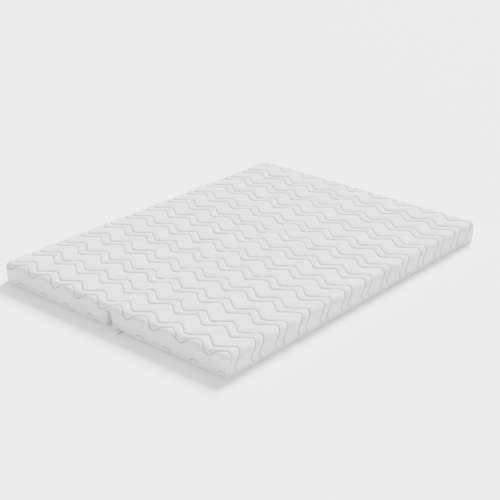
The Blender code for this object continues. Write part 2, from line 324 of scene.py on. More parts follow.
# %% A mesh object from points and faces
def mesh_piece(name, points, faces, material, uv=None, attributes=None):
    """A smooth-shaded object from an array of points and an array of triangles or quads."""
    points = points.reshape(-1, 3)
    used, renumbered = np.unique(faces, return_inverse=True)
    mesh = bpy.data.meshes.new(name)
    mesh.from_pydata(points[used].tolist(), [], renumbered.reshape(faces.shape).tolist())
    if uv is not None:
        layer = mesh.uv_layers.new(name="fabric")
        corner = np.zeros(len(mesh.loops), np.int32)
        mesh.loops.foreach_get("vertex_index", corner)
        layer.data.foreach_set("uv", uv.reshape(-1, 2)[used][corner].astype(np.float32).ravel())
    for label, values in (attributes or {}).items():
        layer = mesh.attributes.new(label, "FLOAT", "POINT")
        layer.data.foreach_set("value", values.ravel()[used].astype(np.float32))
    mesh.validate()
    mesh.shade_smooth()
    mesh.materials.append(material)
    piece = bpy.data.objects.new(name, mesh)
    bpy.context.scene.collection.objects.link(piece)
    return piece


def weld(points, triangles):
    """The same triangles with points that coincide made one, and none with a repeated corner."""
    keys = np.round(points.reshape(-1, 3), 6)
    _, first, same = np.unique(keys, axis=0, return_index=True, return_inverse=True)
    joined = first[same.ravel()][triangles]
    real = (joined[:, 0] != joined[:, 1]) & (joined[:, 1] != joined[:, 2])
    return joined[real & (joined[:, 2] != joined[:, 0])]


# %% [markdown]
# ## Puffing up the quilting by cloth simulation
#
# Between the seams the wadding pushes the knit up. A coarse copy of the whole cover is given to
# the cloth solver with its seams, hems and notch edges pinned, a little slack in the fabric
# and air pressure from inside. Twenty frames are enough for it to puff up and wrinkle where
# the waves turn. Only how far each point rose is kept. It is carried over to the fine grid,
# which has the same coordinates, by a smooth curve through the coarse points.

# %% Simulate the coarse cover
SIM_FRAMES = 20
SIM_PRESSURE = 4.0
SIM_SLACK = 0.03
SIM_FILL = 0.0125
SIM_ROW = 0.0125


def simulate_rise(grid):
    """How far each point of the grid moves along its normal when the cover is puffed up."""
    points, normal = drape(grid["s"], grid["t"])
    triangles = weld(points, grid_triangles(grid, points))
    flat = points.reshape(-1, 3)
    used, faces = np.unique(triangles, return_inverse=True)
    mesh = bpy.data.meshes.new("puff")
    mesh.from_pydata(flat[used].tolist(), [], faces.reshape(-1, 3).tolist())
    puff = bpy.data.objects.new("puff", mesh)
    bpy.context.scene.collection.objects.link(puff)
    pinned = (grid["held"] | grid["hem"] | grid["seam"]).ravel()[used]
    group = puff.vertex_groups.new(name="sewn")
    group.add(np.flatnonzero(pinned).tolist(), 1.0, "REPLACE")
    cloth = puff.modifiers.new("cloth", "CLOTH")
    cloth.settings.quality = 4
    cloth.settings.mass = 0.3
    cloth.settings.tension_stiffness = 12
    cloth.settings.compression_stiffness = 6
    cloth.settings.shear_stiffness = 3
    cloth.settings.bending_stiffness = 0.2
    cloth.settings.use_pressure = True
    cloth.settings.uniform_pressure_force = SIM_PRESSURE
    cloth.settings.vertex_group_mass = "sewn"
    cloth.settings.shrink_min = -SIM_SLACK
    cloth.settings.effector_weights.gravity = 0.0
    cloth.collision_settings.use_collision = False
    scene = bpy.context.scene
    for step in range(1, SIM_FRAMES + 1):
        scene.frame_set(step)
    evaluated = puff.evaluated_get(bpy.context.evaluated_depsgraph_get())
    after = np.zeros(len(used) * 3, np.float32)
    evaluated.data.vertices.foreach_get("co", after)
    moved = np.zeros_like(flat)
    moved[used] = after.reshape(-1, 3) - flat[used]
    bpy.data.objects.remove(puff)
    scene.frame_set(1)
    return (moved.reshape(points.shape) * normal).sum(axis=-1)


def curve_through(new, old, values):
    """Catmull-Rom curve through values at old, read at new, along the first axis."""
    place = np.clip(np.searchsorted(old, new) - 1, 0, len(old) - 2)
    before, after = np.clip(place - 1, 0, None), np.clip(place + 2, None, len(old) - 1)
    step = (old[place + 1] - old[place])[:, None]
    x = np.clip((new - old[place])[:, None] / step, 0, 1)
    here, there = values[place], values[place + 1]
    slope_here = (there - values[before]) / (old[place + 1] - old[before])[:, None] * step
    slope_there = (values[after] - here) / (old[after] - old[place])[:, None] * step
    return (
        here * (2 * x**3 - 3 * x**2 + 1)
        + slope_here * (x**3 - 2 * x**2 + x)
        + there * (3 * x**2 - 2 * x**3)
        + slope_there * (x**3 - x**2)
    )


coarse_places = columns((), SIM_FILL)
coarse_rows = rows(0.005, 0.012, SIM_ROW)
coarse = cover_grid(coarse_places, coarse_rows, (-1, 1))
on_line = np.abs(coarse_places[:, None] - LINES[None, :]).min(axis=1) < 1e-5
coarse["seam"] = np.repeat(on_line[None, :], len(coarse["t"]), axis=0)
rise = simulate_rise(coarse)
print(f"half the cloth points rose less than {1000 * np.percentile(rise, 50):.1f} mm,")
print(f"and 98 in 100 of them less than {1000 * np.percentile(rise, 98):.1f} mm")

# %% [markdown]
# ## The relief of the quilting
#
# A seam pulls the knit down to the backing, and the wadding brings it back up within a
# centimetre, so each pillow has a steep shoulder and a nearly flat top. That shoulder is an
# exponential of the distance from the nearest line. The simulated rise comes on top, held
# below a ceiling, because the backing lets no pillow grow taller. A slow unevenness of less
# than a millimetre stands for wadding that is never quite the same thickness.

# %% How far the fabric stands off the plain mattress
SEAM_SINK = 0.0032
SHOULDER = 0.0056
SHOULDER_WIDTH = 0.0044
CEILING = 0.0026
WALL_BULGE = 0.0020
WALL_CREASE = 0.0009
CROWN_WIDTH = 0.010
SLOW_RISE = 0.0006                            # uneven wadding
SLOW_WIDTH = 0.012
HEM_EASE = 0.016
NOTCH_EASE = 0.014
FOLD_EASE = 0.035                             # the pillows are flatter nearer the fold


def line_distance(s, t):
    """Distance from the nearest quilting line, measured square to it."""
    across = (s - wave(t))[..., None] - LINES
    return np.abs(across).min(axis=-1) / np.sqrt(1 + wave_slope(t) ** 2)


def border_ease(s, t):
    """0 on the hem, the corner seam and the notch's edge, rising to 1 a short way from them."""
    over_x = np.clip(np.abs(s) - FLAT_X, 0, None)
    over_y = np.clip(np.abs(t) - FLAT_Y, 0, None)
    major = np.maximum(over_x, over_y)
    minor = np.minimum(over_x, over_y)
    hem = smoothstep((TURN + WALL - major) / HEM_EASE)
    corner = 1 - smoothstep(minor / TURN) * smoothstep((major - TURN * 0.7) / (TURN * 0.3))
    notch = smoothstep(past_edge(s, t) / NOTCH_EASE)
    return hem * corner * notch


def relief(s, t, puff):
    """Lift of the quilted face: shoulder, simulated puff, unevenness and the wall's bulge."""
    away = line_distance(s, t)
    shoulder = SHOULDER * (1 - np.exp(-away / SHOULDER_WIDTH))
    crown = CEILING * np.tanh(np.clip(puff, 0, None) / CEILING)
    crown *= 1 - np.exp(-away / CROWN_WIDTH)
    over = np.maximum(np.abs(s) - FLAT_X, np.abs(t) - FLAT_Y)
    bulge = WALL_BULGE * np.sin(np.pi * np.clip(over / (TURN + WALL), 0, 1))
    slow = SLOW_RISE * unevenness(s, t) * (1 - np.exp(-away / SLOW_WIDTH))
    side = np.abs(s) - FLAT_X > np.abs(t) - FLAT_Y
    along, down = np.where(side, t, s), np.where(side, s, t)
    slow += WALL_CREASE * unevenness(along * 1.7, down * 0.6) * smoothstep(over / TURN)
    fold = 0.75 + 0.25 * smoothstep(np.abs(t) / FOLD_EASE)
    return (-SEAM_SINK + (shoulder + crown) * fold + slow + bulge) * border_ease(s, t)


def puff_on(places, t_rows):
    """The simulated rise read on another grid of the same coordinates."""
    along = curve_through(t_rows, coarse["t"][:, 0], rise)
    return curve_through(places, coarse_places, along.T).T


# %% [markdown]
# ## Colours and a helper for materials
#
# Colours are written as the hex values one would pick in a paint program and turned into the
# linear numbers that a shader needs. One helper adds a node, sets its values and links its
# inputs, so that a material reads as a list of what it is made of.

# %% Colour and node helpers
def linear(hex_colour, alpha=1.0):
    """sRGB hex to linear RGBA, by the standard's own curve."""
    channels = [int(hex_colour[i:i + 2], 16) / 255 for i in (1, 3, 5)]
    curve = [c / 12.92 if c <= 0.04045 else ((c + 0.055) / 1.055) ** 2.4 for c in channels]
    return (*curve, alpha)


def new_material(name):
    """An empty node material with its output, and the shader that everything feeds."""
    material = bpy.data.materials.new(name)
    material.use_nodes = True
    material.node_tree.nodes.clear()
    shader = add(material, "ShaderNodeBsdfPrincipled")
    output = add(material, "ShaderNodeOutputMaterial")
    material.node_tree.links.new(shader.outputs["BSDF"], output.inputs["Surface"])
    return material, shader


def add(material, kind, settings=None, values=None, links=None):
    """Add a node; settings are its own properties, values its inputs, links what feeds them."""
    node = material.node_tree.nodes.new(kind)
    for key, value in (settings or {}).items():
        setattr(node, key, value)
    for key, value in (values or {}).items():
        node.inputs[key].default_value = value
    for key, source in (links or {}).items():
        material.node_tree.links.new(source, node.inputs[key])
    return node


def feed(material, source, target):
    """Link one socket to another."""
    material.node_tree.links.new(source, target)


def patterned(
    name, kind, values, output, colours, relief, roughness, settings=None, metallic=0.0
):
    """A finish whose one pattern, on the piece's own coordinates, gives tone and relief.

    The pattern mixes the two colours and feeds a bump; relief holds its strength and height.
    """
    material, shader = new_material(name)
    place = add(material, "ShaderNodeTexCoord")
    pattern = add(material, kind, settings, values, {"Vector": place.outputs["Object"]})
    tone = add(
        material, "ShaderNodeMix", {"data_type": "RGBA"},
        values={"A": linear(colours[0]), "B": linear(colours[1])},
        links={"Factor": pattern.outputs[output]},
    )
    bump = add(
        material, "ShaderNodeBump", values={"Strength": relief[0], "Distance": relief[1]},
        links={"Height": pattern.outputs[output]},
    )
    feed(material, tone.outputs["Result"], shader.inputs["Base Color"])
    feed(material, bump.outputs["Normal"], shader.inputs["Normal"])
    shader.inputs["Roughness"].default_value = roughness
    shader.inputs["Metallic"].default_value = metallic
    return material


# %% [markdown]
# ## The stretch knit of the cover
#
# The face is a thick white polyester jersey, knitted in soft ribs of loops and brushed, so it
# is matt with a faint bloom at grazing angles. A real wale is about 1 mm wide; it is drawn
# here at 2.4 mm, because finer than that it would not show at all. Beside the seams the knit
# is crowded by the stitches into small puckers. The thread and the shade in the needle line
# make the seams greyer than the pillows; that shade is painted in, stronger than fine thread
# and a narrow groove would give by themselves.

# %% Quilted jersey
WALE = 0.0024


def quilted_jersey():
    """Cells stretched along the wales for loops, noise for puckers, painted shade in the needle
    lines.
    """
    material, shader = new_material("white_polyester_jersey")
    cloth = add(material, "ShaderNodeUVMap", {"uv_map": "fabric"})
    groove = add(material, "ShaderNodeAttribute", {"attribute_name": "groove"})
    mottle = add(
        material, "ShaderNodeTexNoise", values={"Scale": 9.0, "Detail": 3.0},
        links={"Vector": cloth.outputs["UV"]},
    )
    tone = add(
        material, "ShaderNodeMix", {"data_type": "RGBA"},
        values={"A": linear("#D2D0D1"), "B": linear("#DAD9D9")},
        links={"Factor": mottle.outputs["Fac"]},
    )
    # painted shade: the needle lines are mixed towards dark grey, standing for the shadow in
    # their grooves
    seam = add(
        material, "ShaderNodeMix", {"data_type": "RGBA"},
        values={"B": linear("#5C5B5B")},
        links={"Factor": groove.outputs["Fac"], "A": tone.outputs["Result"]},
    )
    feed(material, seam.outputs["Result"], shader.inputs["Base Color"])
    shader.inputs["Roughness"].default_value = 0.92
    shader.inputs["Specular IOR Level"].default_value = 0.25
    shader.inputs["Sheen Weight"].default_value = 0.12
    shader.inputs["Sheen Roughness"].default_value = 0.6

    stretch = add(
        material, "ShaderNodeMapping", values={"Scale": (1 / WALE, 1 / (WALE * 0.8), 1.0)},
        links={"Vector": cloth.outputs["UV"]},
    )
    loops = add(
        material, "ShaderNodeTexVoronoi", {"distance": "EUCLIDEAN"},
        values={"Scale": 1.0, "Randomness": 0.35}, links={"Vector": stretch.outputs["Vector"]},
    )
    pucker = add(
        material, "ShaderNodeTexNoise", values={"Scale": 130.0, "Detail": 2.0, "Roughness": 0.55},
        links={"Vector": cloth.outputs["UV"]},
    )
    near = add(material, "ShaderNodeAttribute", {"attribute_name": "pucker"})
    strength = add(
        material, "ShaderNodeMath", {"operation": "MULTIPLY"},
        links={0: pucker.outputs["Fac"], 1: near.outputs["Fac"]},
    )
    coarse_bump = add(
        material, "ShaderNodeBump", values={"Strength": 0.6, "Distance": 0.0016},
        links={"Height": strength.outputs["Value"]},
    )
    fine_bump = add(
        material, "ShaderNodeBump", values={"Strength": 0.55, "Distance": 0.0009},
        links={"Height": loops.outputs["Distance"], "Normal": coarse_bump.outputs["Normal"]},
    )
    feed(material, fine_bump.outputs["Normal"], shader.inputs["Normal"])
    return material


JERSEY = quilted_jersey()

# %% [markdown]
# ## The two quilted covers
#
# Seat and back are parts of one fabric, so both come from the same functions and meet exactly
# on the middle of the fold. Each stands for its panel's cover, wadding and backing.

# %% Build and hang the covers
PANELS = {"seat": -1, "back": 1}
fine_places = columns(NEAR_LINE, 0.0098, ends=((0.9305, 0.99, 0.0016), (0.99, 1.06, 0.0045)))
fine_rows = rows(0.0016, 0.0030, 0.0050)
# strength and width of the painted shade along the needle lines
GROOVE_SHADE = 0.9
GROOVE_WIDTH = 0.0021
PUCKER_WIDTH = 0.011


def bend_over_fold(piece, name):
    """Bake a piece's placement into its points, the same way for the seat and the back."""
    if name == "seat":
        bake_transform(piece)
    else:
        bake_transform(piece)


def quilted_cover(name):
    """One panel's quilted top and walls, from the fold's middle to the hem."""
    side = PANELS[name]
    grid = cover_grid(fine_places, fine_rows, (side,))
    puff = puff_on(fine_places, grid["t"][:, 0])
    s, t = grid["s"], grid["t"]
    lift = relief(s, t, puff)
    t_here = np.where(t == 0, side * TINY, t)
    points, _ = drape(s, t_here, lift)
    triangles = weld(points, grid_triangles(grid, points))
    away = line_distance(s, t)
    piece = mesh_piece(
        f"{name}_quilt", points, triangles, JERSEY, uv=np.stack([s, t], axis=-1),
        attributes={
            # the groove attribute carries the painted shade of the needle lines
            "groove": GROOVE_SHADE * np.exp(-(away / GROOVE_WIDTH) ** 2),
            "pucker": np.exp(-away / PUCKER_WIDTH),
        },
    )
    stands_for = ["quilted_cover", "wadding", "backing_scrim"]
    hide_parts(*(f"{name}_{part}" for part in stands_for))
    bend_over_fold(piece, name)
    print(f"{piece.name}: {len(triangles)} triangles")
    return piece


covers = {name: quilted_cover(name) for name in PANELS}
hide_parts("fold_face")

# %% [markdown]
# ## The stitches
#
# Each line is a lockstitch in a soft white polyester thread, a stitch every 4 mm. A stitch is
# a short bead that dives into the fabric at both ends, so it is drawn as one: a spindle with
# two rings of four points, sixteen faces in all. There are thousands of them, and they are
# all made in one go as arrays.

# %% Sew the lines
STITCH_PITCH = 0.0040
STITCH_LENGTH = 0.0034
STITCH_RADIUS = 0.00045
STITCH_RISE = 0.0004


def even_along_wave(pitch, start, end):
    """Values of t whose points lie the same distance apart along the wave."""
    t = np.linspace(start, end, 8000)
    step = np.sqrt(1 + wave_slope(t) ** 2) * (t[1] - t[0])
    run = np.concatenate([[0.0], np.cumsum(step)[:-1]])
    return np.interp(np.arange(pitch / 2, run[-1], pitch), run, t)


def beads(centre, along, up, length, radius):
    """Spindles with their ends dipped: the pole, two rings of four points and the pole."""
    across = np.cross(along, up)
    poles = [centre + along * (sign * length / 2) - up * radius * 1.6 for sign in (-1, 1)]
    rings = []
    for sign in (-1, 1):
        middle = centre + along * (sign * length * 0.27)
        for turn in np.arange(4) * np.pi / 2 + np.pi / 4:
            rings.append(middle + (across * math.cos(turn) + up * math.sin(turn)) * radius)
    points = np.stack([poles[0], *rings, poles[1]], axis=1)
    faces = []
    for k in range(4):
        after = (k + 1) % 4
        faces += [(0, 1 + k, 1 + after), (1 + k, 5 + after, 1 + after)]
        faces += [(1 + k, 5 + k, 5 + after), (5 + k, 9, 5 + after)]
    faces = np.array(faces)
    offset = (10 * np.arange(len(centre)))[:, None, None]
    return points.reshape(-1, 3), (faces[None] + offset).reshape(-1, 3)


def on_fabric(s, t):
    """True where the cover exists: not past a hem, a corner seam or the notch's edge."""
    over_x = np.clip(np.abs(s) - FLAT_X, 0, None)
    over_y = np.clip(np.abs(t) - FLAT_Y, 0, None)
    inside = (over_x < TURN + WALL - 0.003) & (over_y < TURN + WALL - 0.003)
    inside &= ~((over_x > TURN - 0.004) & (over_y > TURN - 0.004))
    return inside & (past_edge(s, t) > 0.003)


def stitches(name):
    """All stitches of one panel, each between two points of its line."""
    side = PANELS[name]
    t = side * even_along_wave(STITCH_PITCH, 0.0012, FRONT_END)
    t, line = [part.ravel() for part in np.meshgrid(t, LINES)]
    s = line + wave(t)
    keep = on_fabric(s, t)
    t, line = t[keep], line[keep]
    half = STITCH_LENGTH / 2 / np.sqrt(1 + wave_slope(t) ** 2)
    ends = []
    for reach in (-half, half):
        s = line + wave(t + reach)
        lift = relief(s, t + reach, np.zeros_like(s)) + STITCH_RISE
        ends.append(drape(s, t + reach, lift))
    along = ends[1][0] - ends[0][0]
    along /= np.linalg.norm(along, axis=1, keepdims=True)
    centre = (ends[0][0] + ends[1][0]) / 2
    points, faces = beads(centre, along, ends[0][1], STITCH_LENGTH, STITCH_RADIUS)
    piece = mesh_piece(f"{name}_quilting_thread", points, faces, THREAD)
    bend_over_fold(piece, name)
    print(f"{piece.name}: {len(t)} stitches")


# Spun polyester: two strands twisted, so a fine slanting bump; matt and very white.
THREAD = patterned(
    "spun_polyester_thread", "ShaderNodeTexWave", {"Scale": 300.0, "Distortion": 0.5}, "Fac",
    ("#C4C3C1", "#D8D7D5"), (0.3, 0.0002), 0.7, {"bands_direction": "DIAGONAL"},
)
for panel in PANELS:
    stitches(panel)

# %% [markdown]
# ## Surfaces along a path
#
# Some pieces are a small profile carried along a line: the seams at the corners, the loop on a
# slider. One function does it. At every point of the path a ring is drawn in the plane of two
# directions, and the rings are joined; the ends are closed with a fan. A second function raises
# an outline into a slab with bevelled faces, for the small metal pieces.

# %% Tubes and slabs
def tube(path, outward, radius, sides=8):
    """Rings round each path point: outward*cos + sideways*sin, with closed ends."""
    ahead = np.gradient(path, axis=0)
    ahead /= np.linalg.norm(ahead, axis=1, keepdims=True)
    sideways = np.cross(ahead, outward)
    turn = 2 * np.pi * np.arange(sides) / sides
    ring = outward[:, None] * np.cos(turn)[None, :, None]
    ring = ring + sideways[:, None] * np.sin(turn)[None, :, None]
    points = (path[:, None] + ring * radius[:, None, None]).reshape(-1, 3)
    count = len(path)
    k = np.arange(sides)
    after = (k + 1) % sides
    low = (np.arange(count - 1) * sides)[:, None]
    quads = np.stack([low + k, low + after, low + sides + after, low + sides + k], axis=-1)
    quads = quads.reshape(-1, 4)
    faces = np.concatenate([quads[:, [0, 1, 2]], quads[:, [0, 2, 3]]])
    middle = len(points)
    points = np.concatenate([points, path[[0, -1]]])
    last = (count - 1) * sides
    start = np.stack([np.full(sides, middle), after, k], axis=1)
    end = np.stack([np.full(sides, middle + 1), last + k, last + after], axis=1)
    return points, np.concatenate([faces, start, end])


def slab(outline, heights, insets):
    """An outline raised through levels, drawn in a little at the first and last of them.

    A point is pulled towards the outline's middle by the level's inset; the end levels are
    closed with a fan. The outline runs counter-clockwise and the result points outward.
    """
    outline = np.asarray(outline, float)
    middle = outline.mean(axis=0)
    length = np.linalg.norm(outline - middle, axis=1, keepdims=True)
    rings = [
        np.column_stack([
            middle + (outline - middle) * (1 - inset / length), np.full(len(outline), height)
        ])
        for height, inset in zip(heights, insets)
    ]
    sides = len(outline)
    points = np.concatenate([*rings, [[*middle, heights[0]]], [[*middle, heights[-1]]]])
    k = np.arange(sides)
    after = (k + 1) % sides
    low = (np.arange(len(heights) - 1) * sides)[:, None]
    first = np.stack([low + k, low + after, low + sides + after], axis=-1).reshape(-1, 3)
    second = np.stack([low + k, low + sides + after, low + sides + k], axis=-1).reshape(-1, 3)
    top = (len(heights) - 1) * sides
    bottom_fan = np.stack([np.full(sides, top + sides), after, k], axis=1)
    top_fan = np.stack([np.full(sides, top + sides + 1), top + k, top + after], axis=1)
    return points, np.concatenate([first, second, bottom_fan, top_fan])


def joined(parts):
    """Several (points, faces) pairs as one."""
    starts = np.cumsum([0] + [len(points) for points, _ in parts[:-1]])
    faces = [faces + start for (_, faces), start in zip(parts, starts)]
    return np.concatenate([points for points, _ in parts]), np.concatenate(faces)


# %% [markdown]
# ## Plain fabric
#
# The underside, the walls inside the notch and the lining under the fold are a plain white
# polyester knit without wadding. It is thinner and smoother, with a finer stitch, drawn at
# 1.6 mm where the real one is 0.8 mm.

# %% Plain knit
def plain_fabric(name, low, high, stitch, depth):
    """A knit by its stitch size: small cells for the loops over a soft mottle."""
    material, shader = new_material(name)
    place = add(material, "ShaderNodeTexCoord")
    mottle = add(
        material, "ShaderNodeTexNoise", values={"Scale": 25.0, "Detail": 4.0},
        links={"Vector": place.outputs["Object"]},
    )
    tone = add(
        material, "ShaderNodeMix", {"data_type": "RGBA"},
        values={"A": linear(low), "B": linear(high)}, links={"Factor": mottle.outputs["Fac"]},
    )
    loops = add(
        material, "ShaderNodeTexVoronoi", values={"Scale": 1 / stitch, "Randomness": 0.3},
        links={"Vector": place.outputs["Object"]},
    )
    bump = add(
        material, "ShaderNodeBump", values={"Strength": 0.3, "Distance": depth},
        links={"Height": loops.outputs["Distance"]},
    )
    feed(material, tone.outputs["Result"], shader.inputs["Base Color"])
    feed(material, bump.outputs["Normal"], shader.inputs["Normal"])
    shader.inputs["Roughness"].default_value = 0.9
    shader.inputs["Sheen Weight"].default_value = 0.08
    return material


PLAIN_KNIT = plain_fabric("plain_polyester_knit", "#E9E8E6", "#F1F0EF", 0.0016, 0.0003)

# %% [markdown]
# ## Corner seams
#
# At each outer corner the two walls are sewn together with a narrow ridge that stands up from
# just under the roll to the hem. It fades out at the top, where the fabric is still in one
# piece.

# %% Upright seams at the four outer corners
SEAM_RADIUS = 0.0015


def corner_seams(name):
    """Both upright seams of a panel, thin at the top end."""
    parts = []
    for end in (-1, 1):
        depth = np.linspace(-0.006, WALL, 24)
        s = end * (FLAT_X + TURN + depth)
        t = np.full_like(s, PANELS[name] * (FLAT_Y + TURN)) + PANELS[name] * np.minimum(depth, 0)
        path, normal = drape(s, t, 0.0004)
        radius = SEAM_RADIUS * smoothstep((depth + 0.008) / 0.012)
        parts.append(tube(path, normal, radius))
    points, faces = joined(parts)
    piece = mesh_piece(f"{name}_corner_seams", points, faces, PLAIN_KNIT)
    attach(piece, name)


for panel in PANELS:
    corner_seams(panel)

# %% [markdown]
# ## Walls inside the notch
#
# The slabs' facing ends are covered with plain fabric. It is pulled over the foam by hand, so
# it bellies a little and shows soft, mostly upright creases. On the seat the wall leans back
# towards the floor, which leaves the notch wider at the bottom.

# %% End walls
LINING_DEPTH = 0.0078                        # thickness of the quilted sandwich at the fold
WALL_TOP = THICKNESS - LINING_DEPTH
WALL_BELLY = 0.0018
FABRIC_THICKNESS = 0.0008


def surface_faces(count_rows, count_columns, flip=False):
    """Quads of a grid, numbered row by row."""
    index = np.arange(count_rows * count_columns).reshape(count_rows, count_columns)
    a, b = index[:-1, :-1].ravel(), index[:-1, 1:].ravel()
    c, d = index[1:, 1:].ravel(), index[1:, :-1].ravel()
    return np.stack([a, d, c, b] if flip else [a, b, c, d], axis=1)


def thicken(piece, offset):
    """Give a cloth its thickness, behind its drawn surface (-1) or in front of it (1)."""
    fabric = piece.modifiers.new("fabric", "SOLIDIFY")
    fabric.thickness = FABRIC_THICKNESS
    fabric.offset = offset


def end_wall(name):
    """Upright grid between the two notch edges, bellied, with creases that fade at its rim.

    One more column at each end turns the corner, to lie under the edge of the cover.
    """
    side = PANELS[name]
    lean = SEAT_LEAN if side < 0 else BACK_LEAN
    z = np.linspace(0.0006, WALL_TOP, 30)
    u = np.concatenate([[-1.01], np.linspace(-1, 1, 260), [1.01]])
    outer = FLAT_X + np.sqrt(ROLL**2 - np.clip(z - (THICKNESS - ROLL), 0, ROLL) ** 2)
    inner_roll = ROLL - LINING_DEPTH
    rise = np.clip(z - (THICKNESS - ROLL), 0, inner_roll)
    inner = FLAT_X + np.sqrt(inner_roll**2 - rise**2)
    outer -= tuck_at(z)
    reach = outer + (inner - outer) * smoothstep((z - ARCH_TOP + 0.006) / 0.006)
    z, u = np.meshgrid(z, u, indexing="ij")
    past = np.abs(u) > 1
    x = np.clip(u, -1, 1) * reach[:, None] - np.sign(u) * 0.0006 * past
    rim = smoothstep((1 - np.abs(u)) * HALF_LENGTH / 0.03)
    rim = rim * smoothstep(z / 0.02) * smoothstep((WALL_TOP - z) / 0.015)
    crease = 0.0006 * unevenness(x * 1.6, z * 0.5 + 3 * side)
    y = side * (CREASE + lean * (1 - z / THICKNESS) - (WALL_BELLY + crease) * rim + 0.003 * past)
    points = np.stack([x, y, z], axis=-1)
    faces = surface_faces(*x.shape, flip=side < 0)
    piece = mesh_piece(f"{name}_end_wall", points, faces, PLAIN_KNIT)
    thicken(piece, -1)
    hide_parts(f"{name}_inner_wall")
    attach(piece, name)


for panel in PANELS:
    end_wall(panel)

# %% [markdown]
# ## The underside
#
# The bottom of each slab is one plain cloth that ends at the zip. It lies flat on the floor,
# with its edge turned up a little to the tape. Its outline is the slab's: square at the notch
# and rounded at the outer corners.

# %% Base cloths
BASE_RIM = 0.0009
BASE_GAP = 0.0002                            # between the cloth and the floor
RIM_RISE = 0.0008                            # how far the edge turns up
RIM_WIDTH = 0.006


def base_cloth(name):
    """A flat grid whose outer corners are pushed onto a circle of the roll's radius."""
    side = PANELS[name]
    lean = SEAT_LEAN if side < 0 else BACK_LEAN
    u = np.linspace(-1, 1, 191)
    v = np.linspace(0, 1, 71)
    v, u = np.meshgrid(v, u, indexing="ij")
    near = CREASE + lean + 0.0006
    out = near + v * (HALF_WIDTH - BASE_RIM - near)
    corner = np.clip((out - FLAT_Y) / ROLL, 0, 1)
    reach = FLAT_X - BASE_RIM + ROLL * np.sqrt(1 - corner**2)
    x = u * reach
    rim = np.minimum((1 - np.abs(u)) * HALF_LENGTH, HALF_WIDTH - out)
    z = FABRIC_THICKNESS + BASE_GAP + RIM_RISE * (1 - smoothstep(rim / RIM_WIDTH))
    z = z + BASE_GAP * (1 + unevenness(x, out))
    points = np.stack([x, side * out, z], axis=-1)
    faces = surface_faces(*x.shape, flip=side > 0)
    piece = mesh_piece(f"{name}_base_cloth", points, faces, PLAIN_KNIT)
    thicken(piece, 1)
    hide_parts(f"{name}_base_panel")
    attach(piece, name)


for panel in PANELS:
    base_cloth(panel)

# %% [markdown]
# ## Lining under the fold
#
# Seen from the notch, the quilted top that bridges the slabs has a plain backing. At the two
# ends of the fold the backing turns out and meets the face at the round mouth of the notch.
# The lining is one strip: along s it follows the cover a sandwich's thickness below it, and
# its last columns go round a half circle to the face.

# %% Fold linings
MOUTH_SAG = 0.0022                           # the turned edge hangs a little under its path


def fold_lining(name):
    """Under the cover at a constant depth, then half a circle out to its edge."""
    side = PANELS[name]
    t = side * np.append(np.arange(0.0, CREASE - 0.0010, 0.0015), CREASE - 0.0002)
    rise = np.sqrt(1 - np.clip(np.abs(t) / CREASE, 0, 1) ** 2)
    mouth = ARCH_FOOT + (ARCH_TOP - ARCH_FOOT) * rise
    drop = THICKNESS - mouth
    last = FLAT_X + np.where(
        drop < ROLL, ROLL * np.arccos(1 - np.minimum(drop, ROLL) / ROLL), TURN + drop - ROLL
    )
    along = np.linspace(-1, 1, 241)
    middle = np.sign(along) * np.abs(along) ** 0.8
    turn = np.linspace(0, np.pi, 9)[1:]
    s = np.outer(last, np.concatenate([-np.ones(len(turn)), middle, np.ones(len(turn))]))
    half = LINING_DEPTH / 2 - 0.0003
    curl = np.concatenate([turn[::-1], np.zeros(len(middle)), turn])
    lift = -LINING_DEPTH + half * (1 - np.cos(curl))
    t_grid = np.repeat(t[:, None], s.shape[1], axis=1)
    t_grid = np.where(t_grid == 0, side * TINY, t_grid)
    points, _ = drape(s, t_grid, np.repeat(lift[None], len(t), axis=0))
    points[..., 2] -= np.sin(curl) * MOUTH_SAG
    points[..., 1] = t_grid
    faces = surface_faces(*s.shape, flip=side > 0)
    piece = mesh_piece(f"{name}_fold_lining", points, faces, PLAIN_KNIT)
    bend_over_fold(piece, name)
    return piece


linings = {name: fold_lining(name) for name in PANELS}
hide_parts("fold_backing", "fold_wadding")

# %% [markdown]
# ## The zips
#
# A zip runs round the outside of each slab just above the floor, from one side of the notch
# to the other, so that the cover comes off for washing. Its two tapes are woven, and its
# teeth are loops of nylon that hook into each other. Real loops are 1 mm apart; here a tooth
# comes every 1.8 mm along each row, which still reads as a fine zip.

# %% Teeth
TOOTH_PITCH = 0.0018
TEETH_START = 0.0856                         # distance from the fold's middle
TEETH_INSET = 0.0010
TOOTH_DEPTH = 0.0008                         # half of a tooth, square to the wall
BOX_QUADS = np.array([
    (0, 1, 2, 3), (7, 6, 5, 4), (0, 4, 5, 1), (1, 5, 6, 2), (2, 6, 7, 3), (3, 7, 4, 0),
])


def around(step, inset):
    """Points and outward directions along the outside of a panel, a step apart.

    A straight side, a quarter circle, the long straight end, a quarter circle and the other
    straight side, walked at even steps.
    """
    side_run = FLAT_Y - TEETH_START
    radius = ROLL - inset
    arc = radius * math.pi / 2
    total = 2 * side_run + 2 * FLAT_X + 2 * arc
    d = np.arange(0, total, step)
    first = np.clip(d, 0, side_run)
    turned = np.clip(d - side_run, 0, arc) / radius
    across = np.clip(d - side_run - arc, 0, 2 * FLAT_X)
    back = np.clip(d - side_run - arc - 2 * FLAT_X, 0, arc) / radius
    last = np.clip(d - side_run - 2 * arc - 2 * FLAT_X, 0, side_run)
    turn = turned + back
    outward = np.stack([-np.cos(turn), np.sin(turn)], axis=1)
    centre = np.stack([-FLAT_X + across, TEETH_START + first - last], axis=1)
    return centre + outward * radius, outward


